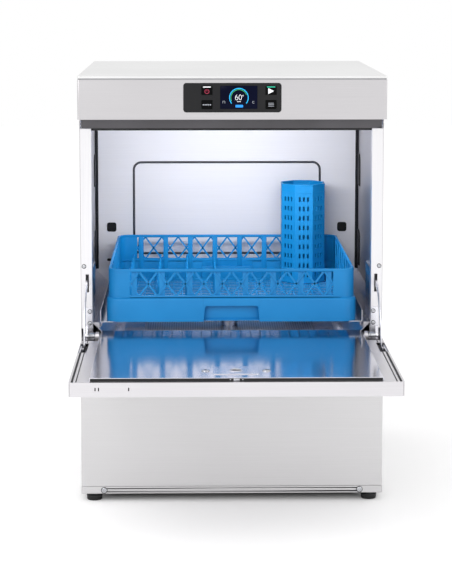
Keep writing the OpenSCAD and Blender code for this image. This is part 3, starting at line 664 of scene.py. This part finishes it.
def mark(name, body, look, draw, node, sunk):
    """A lit or printed mark, sunk by so much behind the front of its key or of the display."""
    bm = bmesh.new()
    draw(bm)
    low, _ = ends(node)
    shift_all(bm, Matrix.Translation((low[0], low[1] + sunk, low[2])))
    piece(name, bm, look, body)


def power_mark(bm):
    """A broken ring and a stroke, the usual sign for on and off."""
    ribbon(bm, arc_points((10.4, 6.3), 4.0, 4.0, 122, 418, 28), 1.3)
    ribbon(bm, [(10.4, 6.5), (10.4, 11.1)], 1.3)


def program_mark(bm):
    """A row of short bars in place of a word."""
    for i in range(5):
        left = 2.3 + 3.4 * i
        soft_bar(bm, (left, left + 2.5), (7.2, 9.2), 0.4)


def start_mark(bm):
    """A triangle that points to the right."""
    prism(bm, [(5.1, 1.3), (5.1, 12.7), (15.9, 7.0)], *FILM)


def menu_mark(bm):
    """Three lines, the usual sign for a menu."""
    for low in (10.7, 7.8, 4.9):
        soft_bar(bm, (5.1, 15.9), (low, low + 0.9), 0.35)


def lamp(left, right):
    """Draws the bar of light at the top of a key."""
    return lambda bm: soft_bar(bm, (left, right), (14.3, 15.6))


for name in ("power", "program", "start", "menu"):
    key(f"{name}_key_cap", f"{name}_key", f"button_{name}")
ON_KEY = 0.01
for name, look, draw in (
        ("power_lamp", lamp_white, lamp(2.9, 17.9)), ("power_symbol", print_red, power_mark),
        ("program_symbol", print_grey, program_mark), ("start_lamp", lamp_green, lamp(2.5, 18.5)),
        ("start_symbol", print_white, start_mark), ("menu_symbol", print_grey, menu_mark)):
    owner = name.split("_")[0]
    mark(name, f"{owner}_key", look, draw, f"button_{owner}", ON_KEY)

DIAL = (36.3, 21.8)
FIGURE_FOOT = 17.6
FIGURE_LINE = 0.9


def reading(bm):
    """A six and a nought, the degree ring, and a bar under them."""
    ribbon(bm, arc_points((31.9, FIGURE_FOOT + 2.9), 2.5, 2.9, 0, 360, 22), FIGURE_LINE)
    ribbon(bm, arc_points((34.6, FIGURE_FOOT + 2.9), 5.2, 7.4, 180, 112, 12), FIGURE_LINE)
    ribbon(bm, arc_points((38.9, FIGURE_FOOT + 4.9), 2.6, 4.9, 0, 360, 28), FIGURE_LINE)
    ribbon(bm, arc_points((43.9, 25.7), 1.0, 1.0, 0, 360, 14), 0.55)
    soft_bar(bm, (32.5, 40.1), (13.7, 14.6), 0.4)


def side_signs(bm):
    """Small plain signs left and right of the dial."""
    ribbon(bm, [(5.1, 10.9), (5.1, 15.1), (9.1, 15.1), (9.1, 10.9)], 0.8)
    ribbon(bm, arc_points((64.5, 12.9), 1.9, 1.9, 40, 320, 16), 0.7)


# The glass of the display, its edges ground.
glass = bmesh.new()
glass_low, glass_high = ends("display")
block(glass, [value + 0.1 for value in glass_low],
      (glass_high[0] - 0.1, glass_low[1] + 4.5, glass_high[2] - 0.1), 0.35)
piece("display_window", glass, display_glass, "cabinet", ["display"])
ON_GLASS = 0.02
for name, look, draw in (
        ("dial_arc", lit_cyan, lambda bm: ribbon(bm, arc_points(DIAL, 18.0, 18.0, 218, -38, 60), 1.5)),
        ("dial_progress", lit_green, lambda bm: ribbon(bm, arc_points(DIAL, 15.6, 15.6, 205, 20, 44), 0.8)),
        ("dial_reading", print_white, reading),
        ("dial_bar", lit_blue, lambda bm: soft_bar(bm, (29.7, 44.3), (2.9, 7.9), 1.0)),
        ("display_signs", print_grey, side_signs)):
    mark(name, "cabinet", look, draw, "display", ON_GLASS)

# A grey strip in the seam between the lid and the hood: painted shade of the seam's gap.
hood_low, hood_high = ends("control_fascia")
strip_front, strip_back, strip_foot = hood_low[1] + 1.1, hood_high[1] - 0.3, hood_high[2] - 0.1
seam_painted_shade_strip = bmesh.new()
strip_loop = rounded_loop(hood_high[0] - 1.1, (strip_back - strip_front) / 2, 3,
                         (0, (strip_front + strip_back) / 2))
rim(seam_painted_shade_strip, strip_loop, rounded_section(-1.2, 0, strip_foot, strip_foot + 3.2, 0.3, 2))
piece("lid_seam_painted_shade_strip", seam_painted_shade_strip, seam_painted_shade_grey, "cabinet")


# ---- Screws. The hinge plates' screws and the plinth's are made together, one side at a time ----

FORWARD = (0, -1, 0)


def cross_recess(bm, radius, top, depth, slot_half, place, axis):
    """Four wedges that fill a round recess and leave a cross between them."""
    frame_at = Matrix.Translation(place) @ turn_to(axis)
    lean = math.asin(slot_half / radius)
    wedge = [(slot_half * 1.5, slot_half * 1.5)]
    for i in range(7):
        angle = lean + (math.pi / 2 - 2 * lean) * i / 6
        wedge.append((radius * math.cos(angle), radius * math.sin(angle)))
    for quarter in range(4):
        turned = frame_at @ Matrix.Rotation(math.pi / 2 * quarter, 4, "Z")
        rows = [[bm.verts.new(turned @ Vector((x, y, z))) for x, y in wedge] for z in (top, top - depth)]
        join_rings(bm, *rows)
        cap_ends(bm, rows)


def cross_screw(bm, place, axis, radius, height):
    """A pan-head screw with a cross recess, its base on the sheet."""
    top = height * 0.92
    recess = radius * 0.52
    outline = [(0, top - height * 0.6), (recess, top - height * 0.6), (recess, top),
               (radius * 0.7, top * 0.97), (radius * 0.9, height * 0.7), (radius, height * 0.35), (radius, 0),
               (0, 0)]
    lathe(bm, outline, place, axis, turns=24)
    cross_recess(bm, recess - 0.02, top, height * 0.58, radius * 0.09, place, axis)


def dome_screw(bm, place, axis, radius, height):
    """A low round head with a round socket."""
    outline = [(0, height * 0.35), (radius * 0.3, height * 0.35), (radius * 0.3, height * 0.98),
               (radius * 0.55, height), (radius * 0.8, height * 0.82), (radius * 0.95, height * 0.5),
               (radius, height * 0.12), (radius, 0), (0, 0)]
    lathe(bm, outline, place, axis, turns=24)


def washer(bm, place, bore, radius, thick, turns):
    """A thin dark ring under a screw head that faces forward: a rubber washer under the hinge screws, painted
    shade round the plinth screws.
    """
    lathe(bm, [(bore, 0), (radius, 0), (radius, thick), (bore, thick)], place, FORWARD, turns)


# Two screws in each hinge plate, and one in each post above them, on the right-hand side.
HINGE_PLATE_FACE, POST_FACE = -69.1, ends("front_post_right")[0][1]
HINGE_SCREWS = ((282, HINGE_PLATE_FACE, 356), (282, HINGE_PLATE_FACE, 379.5), (293, POST_FACE, 470))
PLINTH_FACE = ends("plinth_strip")[0][1]

hinge_screw_set, hinge_washers = bmesh.new(), bmesh.new()
plinth_screw_set, plinth_painted_shade_rings = bmesh.new(), bmesh.new()
for side in SIDES:
    for x, y, z in HINGE_SCREWS:
        cross_screw(hinge_screw_set, (side * x, y, z), FORWARD, 3.6, 1.6)
        washer(hinge_washers, (side * x, y, z), 2.6, 4.5, 0.5, 24)
    spot = (side * 255, PLINTH_FACE, 22.5)
    cross_screw(plinth_screw_set, spot, FORWARD, 5.5, 2.0)
    lathe(plinth_screw_set, [(0, 2.0), (2.5, 2.0), (2.5, 0), (0, 0)], spot, (0, 1, 0), 16)
    washer(plinth_painted_shade_rings, spot, 5.2, 6.4, 0.9, 28)
piece("hinge_washers", hinge_washers, rubber, "cabinet")
piece("hinge_screw_set", hinge_screw_set, zinc, "cabinet", ["hinge_screws"])
# Dark rings that stick out round the plinth screws' heads: painted shade round each head.
piece("plinth_painted_shade_rings", plinth_painted_shade_rings, rubber, "cabinet")
piece("plinth_screw_set", plinth_screw_set, zinc, "cabinet", ["plinth_screws"])


# ---- Door hardware ----

DOOR_FACE = ends("door_inner_panel")[1][2]
LATCH_MID = middle("latch_plate")[1]
LATCH_HALF_X = ends("latch_plate")[1][0]
LATCH_HALF_Y = ends("latch_plate")[1][1] - LATCH_MID

door_screw_set = bmesh.new()
for side in SIDES:
    dome_screw(door_screw_set, (side * 54.5, LATCH_MID, DOOR_FACE), (0, 0, 1), 7.5, 2.2)
    for depth in (-232, -204):
        lathe(door_screw_set, [(0, 1.5), (3.4, 1.5), (4.2, 0.9), (4.2, 0), (0, 0)],
              (side * 292, depth, 321), (-side, 0, 0), 20)
piece("door_screw_set", door_screw_set, zinc, "door", ["door_screws"])

# Springs of five turns, wound round the door's hinge line.
hinge = next(joint for joint in frame["joints"] if joint["name"] == "door_hinge")
_, HINGE_Y, HINGE_Z = (value / MM for value in hinge["pos_m"])
COIL, COIL_WIRE, COIL_PITCH, COIL_TURNS, COIL_STEPS = 7.4, 1.05, 2.35, 5, 24
spring_set = bmesh.new()
for side in SIDES:
    winding = []
    for i in range(COIL_TURNS * COIL_STEPS + 1):
        angle = 2 * math.pi * i / COIL_STEPS
        winding.append((side * (273.0 + COIL_PITCH * i / COIL_STEPS), HINGE_Y + COIL * math.cos(angle),
                        HINGE_Z + COIL * math.sin(angle)))
    tube(spring_set, winding, COIL_WIRE)
piece("hinge_spring_set", spring_set, zinc, "cabinet", ["hinge_springs"])

# The latch plate with its round bore, and a raised ring round the bore.
latch = bmesh.new()
lathe(latch, [(9, 0), (13, 0), (13, 1.2), (12.2, 2.0), (10.4, 2.0), (9, 1.0)],
      (0, LATCH_MID, DOOR_FACE), turns=40)
plate_rings = []
for inset, up in ((0, 0), (0, 0.8), (0.4, 1.2)):
    loop = rounded_loop(LATCH_HALF_X - inset, LATCH_HALF_Y - inset, 5 - inset, (0, LATCH_MID), 9)
    plate_rings.append([latch.verts.new((x, y, DOOR_FACE + up)) for (x, y), _ in loop])
# Ten points a quarter, the last just short of the next quarter's first.
bore_angles = [math.pi / 2 * (quarter + step / 9.999) for quarter in range(4) for step in range(10)]
for up in (1.2, 0):
    plate_rings.append([latch.verts.new((12.6 * math.cos(a), LATCH_MID + 12.6 * math.sin(a), DOOR_FACE + up))
                        for a in bore_angles])
join_in_turn(latch, plate_rings, closed=True)
piece("latch_strike", latch, bright_steel, "door", ["latch_plate"])

# The catch at the door's free edge, between two rivets.
catch = bmesh.new()
block(catch, (-5.5, -495.8, 333.6), (5.5, -490, 337.6), 0.8)
for side in SIDES:
    rivet = [(0, 0), (1.6, 0), (1.6, 1.6), (1.1, 2.2), (0, 2.4)]
    lathe(catch, rivet, (side * 11, -493.4, 335.6), FORWARD, 16)
piece("door_catch", catch, zinc, "door")

# Two gasket lips down each side of the door, broken where the stay bracket is.
side_gaskets = bmesh.new()
for side in SIDES:
    for near, far in ((-500, -248), (-156, -135)):
        for low, high, top in ((288.4, 292.0, 334.3), (282.2, 284.0, 333.9)):
            section = rounded_section(low, high, 332.9, top, 0.45)
            rows = [[side_gaskets.verts.new((side * x, y, z)) for x, z in section] for y in (near, far)]
            join_rings(side_gaskets, *rows)
            cap_ends(side_gaskets, rows)
piece("door_side_gaskets", side_gaskets, rubber, "door")


# ---- Tub, feet and filters ----

TUB_BACK = ends("tub_basin")[1][1]
# A dark bead over the embossed ring on the tub's back wall: painted shade along the ring.
ring_painted_shade = bmesh.new()
rim(ring_painted_shade, rounded_loop(213.2, 106.2, 19, arc=12),
    [(-4.6, 0), (-4.6, 1.45), (-3.4, 1.95), (-1.0, 1.95), (0.2, 1.45), (0.2, 0)])
shift_all(ring_painted_shade, Matrix.Translation((0, TUB_BACK, 518)) @ Matrix.Rotation(math.pi / 2, 4, "X"))
piece("back_wall_ring_painted_shade", ring_painted_shade, shaded_steel, "cabinet")


def plug(bm, half_x, half_z, corner, x, z):
    """A soft-edged rubber plug on the tub's back wall."""
    def outline(inset, up):
        loop = rounded_loop(half_x - inset, half_z - inset, max(corner - inset, 0.4), (x, z), 6)
        return [(px, TUB_BACK - up, pz) for (px, pz), _ in loop]

    layered(bm, ((0.6, 0), (0, 0.7), (0, 1.6), (0.5, 2.2), (1.5, 2.5), (2.2, 2.2), (2.5, 1.6)), outline)


# Square plugs either side of the ring, and flat ones low down.
plugs = bmesh.new()
for side in SIDES:
    plug(plugs, 10.5, 10.5, 5, side * 262, 474)
    plug(plugs, 6, 3, 2.5, side * 267, 399)
piece("tub_plugs", plugs, rubber, "cabinet", ["wall_plugs"])

FOOT_PAD = [(0, 0), (14.2, 0), (15, 0.8), (15.4, 4), (14.6, 4.8), (14.6, 5.6), (15.6, 6.4), (16, 10.2),
            (15, 11), (0, 11)]
FOOT_NUT = [(0, 11), (9.6, 11), (10, 11.4), (10, 15.6), (9.4, 16), (0, 16)]
FOOT_THREAD = [(0, 16)]
for turn in range(21):
    FOOT_THREAD += [(3.5, 16 + turn), (4, 16.5 + turn)]
FOOT_THREAD += [(3.4, 37.6), (0, 37.9)]
feet, feet_metal = bmesh.new(), bmesh.new()
for x in (-275, 275):
    for y in (-76, 462):
        lathe(feet, FOOT_PAD, (x, y, 0), turns=36)
        lathe(feet_metal, FOOT_NUT, (x, y, 0), turns=6)
        lathe(feet_metal, FOOT_THREAD, (x, y, 0), turns=18)
piece("foot_pads", feet, rubber, "cabinet", ["levelling_feet"])
piece("foot_stems", feet_metal, zinc, "cabinet")


def filter_plate(bm, side):
    """One lift-out filter: a rim, a perforated sheet cut round the spindle, and two finger ridges."""
    (_, front, foot), (far, back, top) = ends("surface_filters")
    near, cut = 0.4, 14.6
    spindle = middle("lower_spindle")[1]
    mid_x = side * (near + far) / 2

    def sheet(inner, outer, start, end):
        x = sorted((side * inner, side * outer))
        block(bm, (x[0], start, foot + 0.4), (x[1], end, foot + 1.2), 0.1, 1)

    rim(bm, rounded_loop((far - near) / 2, (back - front) / 2, 4, (mid_x, (front + back) / 2)),
        rounded_section(-6, 0, foot, top, 0.5))
    sheet(cut, far - 5.5, front + 1.1, back - 1.1)
    sheet(near + 0.2, cut + 0.1, front + 1.1, spindle - cut)
    sheet(near + 0.2, cut + 0.1, spindle + cut, back - 1.1)
    for ridge in (mid_x - 30, mid_x + 30):
        block(bm, (ridge - 1.5, 60, foot + 1.0), (ridge + 1.5, 370, top - 0.1), 0.3)


filters = bmesh.new()
for side in SIDES:
    filter_plate(filters, side)
piece("filter_plates", filters, perforated_steel, "cabinet", ["surface_filters"])


# ---- Spray arms. Drawn from the underside of the hub, on the arms' common axis ----

ARM_AXIS = (0, middle("lower_wash_arm")[1], 0)
PRESSING_LAYERS = ((3.5, 0), (1.2, 0.8), (0.2, 3), (0, 6), (0.2, 9.6), (1.2, 12.2), (3.5, 13))
WASH_HUB = [(12.1, 0), (22, 0), (24, 1.2), (24, 4), (22.6, 5), (22.6, 11), (24, 12), (24, 15), (22.8, 16),
            (12.1, 16)]
WASH_JET = [(0, 1.6), (1.5, 1.6), (1.9, 3.0), (3.6, 3.0), (4.6, 2.2), (5, 0.6), (5, 0), (0, 0)]
RINSE_HUB = [(8.1, 0), (14, 0), (15, 1), (15, 3), (13.6, 4), (13.6, 8), (15, 9), (15, 11), (14, 12),
             (8.1, 12)]
RINSE_JET = [(0, 0.3), (0.9, 0.3), (1.4, 0.9), (2.1, 0.6), (2.6, -0.6), (0, -0.6)]


def wash_arm(name, node, jets_up):
    """A pressed hollow arm: two soft shells and their seam, a hub with a collar, and round nozzles."""
    low, high = ends(node)
    reach, half_width = high[0], 17
    axis_y = ARM_AXIS[1]

    def outline(inset, height):
        loop = rounded_loop(reach - inset, half_width - inset, 12 - inset, (0, axis_y), 7)
        return [(x, y, height) for (x, y), _ in loop]

    bm = bmesh.new()
    layered(bm, PRESSING_LAYERS, outline)
    rim(bm, rounded_loop(reach, half_width, 12, (0, axis_y), 7), rounded_section(-0.8, 0, 5.6, 7.0, 0.3))
    lathe(bm, WASH_HUB, ARM_AXIS, turns=40)
    for x in range(60, 205, 48):
        for side in SIDES:
            lathe(bm, WASH_JET, (side * x, axis_y + side * 4, 12), turns=20)
    if not jets_up:
        shift_all(bm, Matrix.Translation((0, 2 * axis_y, 13)) @ Matrix.Rotation(math.pi, 4, "X"))
    shift_all(bm, Matrix.Translation((0, 0, high[2] - 16)))
    piece(name, bm, bright_steel, node, [node])


def rinse_arm(name, node):
    """A slim tube with domed end plugs, a hub and pressed jets."""
    low, high = ends(node)
    reach = high[0]
    half_tube = [(0, reach), (3.2, reach), (4.6, reach - 1.6), (5, reach - 4), (5, reach - 13),
                 (4.5, reach - 14)]
    outline = [(radius, -along) for radius, along in half_tube] + half_tube[::-1]
    bm = bmesh.new()
    lathe(bm, outline, (0, ARM_AXIS[1], 6), (1, 0, 0), turns=20)
    lathe(bm, RINSE_HUB, ARM_AXIS, turns=32)
    for x in range(45, 196, 30):
        for side in SIDES:
            lathe(bm, RINSE_JET, (side * x, ARM_AXIS[1], 10.2), turns=14)
    shift_all(bm, Matrix.Translation((0, 0, low[2])))
    piece(name, bm, bright_steel, node, [node])


wash_arm("lower_wash_arm_pressing", "lower_wash_arm", jets_up=True)
wash_arm("upper_wash_arm_pressing", "upper_wash_arm", jets_up=False)
rinse_arm("lower_rinse_tube", "lower_rinse_arm")
rinse_arm("upper_rinse_tube", "upper_rinse_arm")


# ---- Cable gland. Drawn backwards from the rear panel ----

gland_x, _, gland_z = middle("cable_gland")
GLAND = (gland_x, ends("cable_gland")[0][1], gland_z)
BACKWARD = (0, 1, 0)
gland = bmesh.new()
sleeve = [(5.5, 0.2), (10, 0.2), (10, 22), (9.6, 24), (8.4, 26.4), (7.4, 27.2), (5.5, 27.2)]
lathe(gland, sleeve, GLAND, BACKWARD)
for low, high in ((0.2, 8), (11.3, 17.2)):
    hexagon = [(10, low), (14.2, low), (15, low + 0.8), (15, high - 0.8), (14.2, high), (10, high)]
    lathe(gland, hexagon, GLAND, BACKWARD, turns=6)
for rib in range(12):
    put_in(gland, lambda bm: block(bm, (9.5, 18, -0.7), (10.6, 23.6, 0.7), 0.3, 1),
           Matrix.Translation(GLAND) @ Matrix.Rotation(math.pi / 6 * rib, 4, "Y"))
piece("cable_gland_body", gland, dark_polyamide, "cabinet", ["cable_gland"])


# ---- Room, light and camera. Metres ----

def area_light(name, place, aim, size, power):
    """A softbox of a width and height that faces a point."""
    box = bpy.data.lights.new(name, "AREA")
    box.shape = "RECTANGLE"
    box.size, box.size_y = size
    box.energy = power
    made = bpy.data.objects.new(name, box)
    made.location = place
    made.rotation_euler = (Vector(aim) - Vector(place)).to_track_quat("-Z", "Y").to_euler()
    made.visible_camera = False
    bpy.context.scene.collection.objects.link(made)
    return made


scene = bpy.context.scene
scene.view_settings.view_transform = "Standard"
world = bpy.data.worlds.new("studio")
scene.world = world
world.use_nodes = True
backdrop = world.node_tree.nodes["Background"]
backdrop.inputs["Color"].default_value = (1, 1, 1, 1)
backdrop.inputs["Strength"].default_value = 1.0
area_light("key_softbox", (-1.6, -2.4, 2.6), (0, 0, 0.5), (2.4, 2.4), 44)
area_light("fill_softbox", (2.4, -2.6, 1.9), (0, 0.2, 0.5), (2.4, 2.4), 16)
# A narrow box behind the header brings the tub up to the brightness of the casing.
tub_light = area_light("tub_light", (0, 0.02, 0.70), (0, 0.48, 0.50), (0.44, 0.08), 2.5)
tub_light.visible_glossy = False

# Pale studio paper with a painted shadow under the cabinet, where light from above hardly reaches: dark grey
# over its footprint, fading to the pale paper round the footprint's edge.
CABINET_MIDDLE, CABINET_HALF = (0, 0.2, 0), (0.29, 0.295, 0)
floor_paper, floor_tree, floor_face, floor_place = material("pale_studio_paper_painted_shadow", Roughness=0.9,
                                                            Emission_Strength=0.10)
across = add(floor_tree, "ShaderNodeVectorMath", {0: floor_place, 1: CABINET_MIDDLE}, operation="SUBTRACT")
away = add(floor_tree, "ShaderNodeVectorMath", {0: across.outputs[0]}, operation="ABSOLUTE")
past = add(floor_tree, "ShaderNodeVectorMath", {0: away.outputs[0], 1: CABINET_HALF}, operation="SUBTRACT")
ways = add(floor_tree, "ShaderNodeSeparateXYZ", {"Vector": past.outputs[0]})
farther = add(floor_tree, "ShaderNodeMath", {0: ways.outputs["X"], 1: ways.outputs["Y"]}, operation="MAXIMUM")
painted_shadow_fade = add(floor_tree, "ShaderNodeMapRange", {"Value": farther.outputs[0], "From Min": -0.06,
                                              "From Max": 0.005}, interpolation_type="SMOOTHSTEP")
two_shades(floor_tree, painted_shadow_fade.outputs[0], colour("#5a5a5a"), colour("#fbfbfb"),
           floor_face.inputs["Base Color"], floor_face.inputs["Emission Color"])
FLOOR_REACH = 9
floor_mesh = bpy.data.meshes.new("studio_floor")
floor_corners = [(x * FLOOR_REACH, y * FLOOR_REACH, 0) for x, y in ((-1, -1), (1, -1), (1, 1), (-1, 1))]
floor_mesh.from_pydata(floor_corners, [], [(0, 1, 2, 3)])
floor_mesh.materials.append(floor_paper)
floor = bpy.data.objects.new("studio_floor", floor_mesh)
scene.collection.objects.link(floor)

camera_data = bpy.data.cameras.new("camera")
camera_data.lens = 113.5
camera_data.shift_y = -0.18
camera_data.dof.use_dof = False
camera_data.clip_end = 100
camera = bpy.data.objects.new("camera", camera_data)
camera.location = (-0.0739, -3.6802, 1.0453)
camera.rotation_euler = (math.radians(90 - 6.583), 0, math.radians(-0.991))
scene.collection.objects.link(camera)
scene.camera = camera
